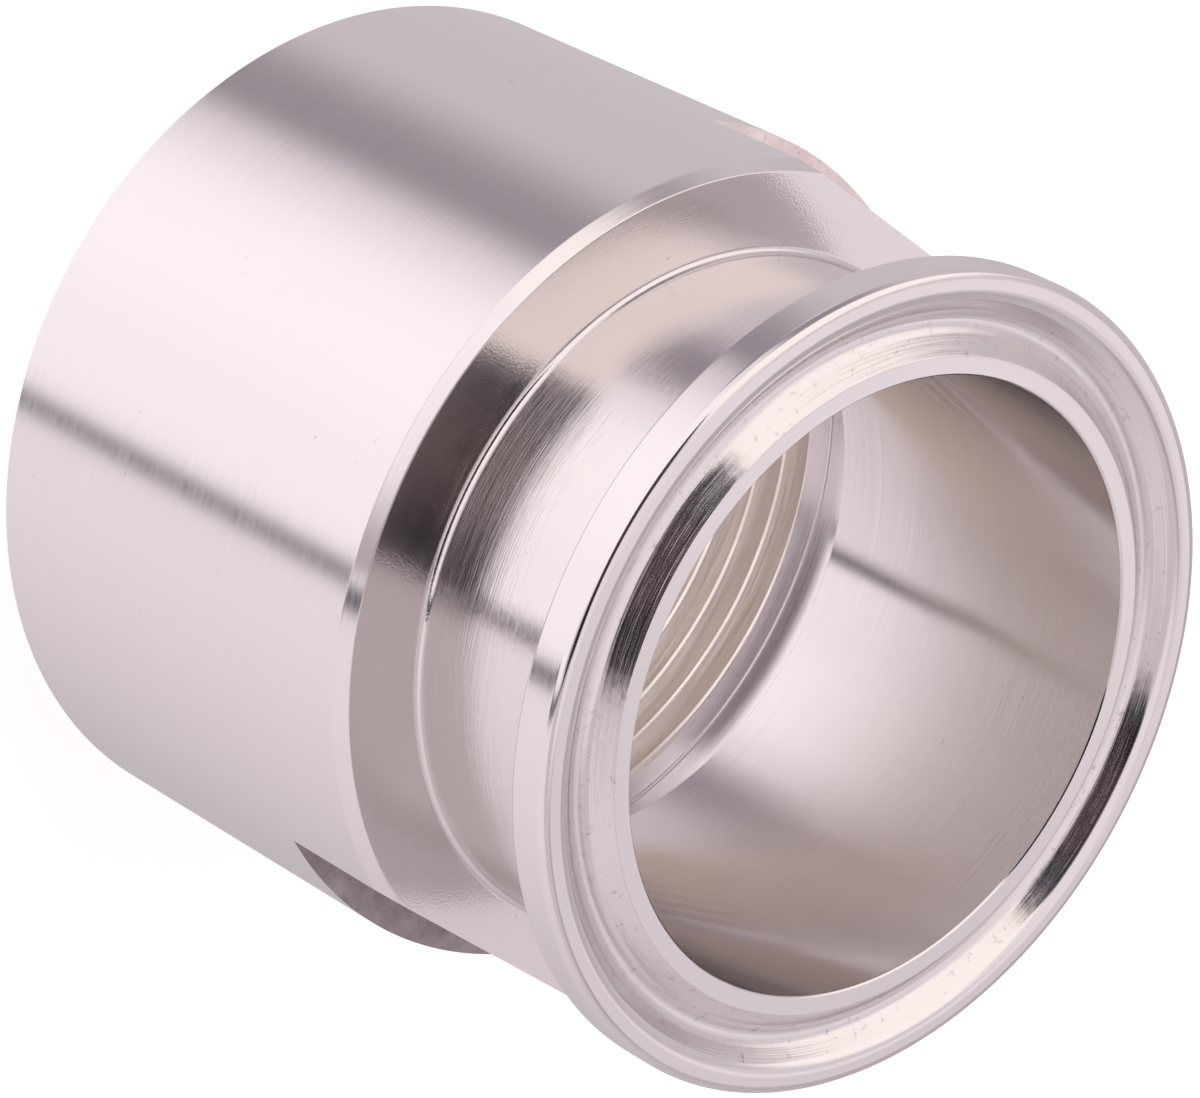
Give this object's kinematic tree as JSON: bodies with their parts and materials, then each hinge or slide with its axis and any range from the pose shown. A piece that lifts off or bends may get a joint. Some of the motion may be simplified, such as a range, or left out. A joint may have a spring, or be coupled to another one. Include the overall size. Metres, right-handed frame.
{
  "type": "sanitary clamp threaded adapter",
  "caption": "Stainless steel adapter turned from solid bar: a hygienic clamp flange with a gasket groove on a neck, and a thicker body with wrench flats and an internal taper pipe thread.",
  "frame": {"origin": "centre of the flat threaded end of the body, on the axis of the bore", "axes": "+Z runs along the axis from the threaded end to the clamp face, and +X is square to one of the two wrench flats"},
  "size_m": [0.0532, 0.0532, 0.0497],
  "materials": {
    "steel": "turned stainless steel, lightly polished"
  },
  "bodies": {
    "root": {"adapter": "steel"}
  },
  "joints": []
}
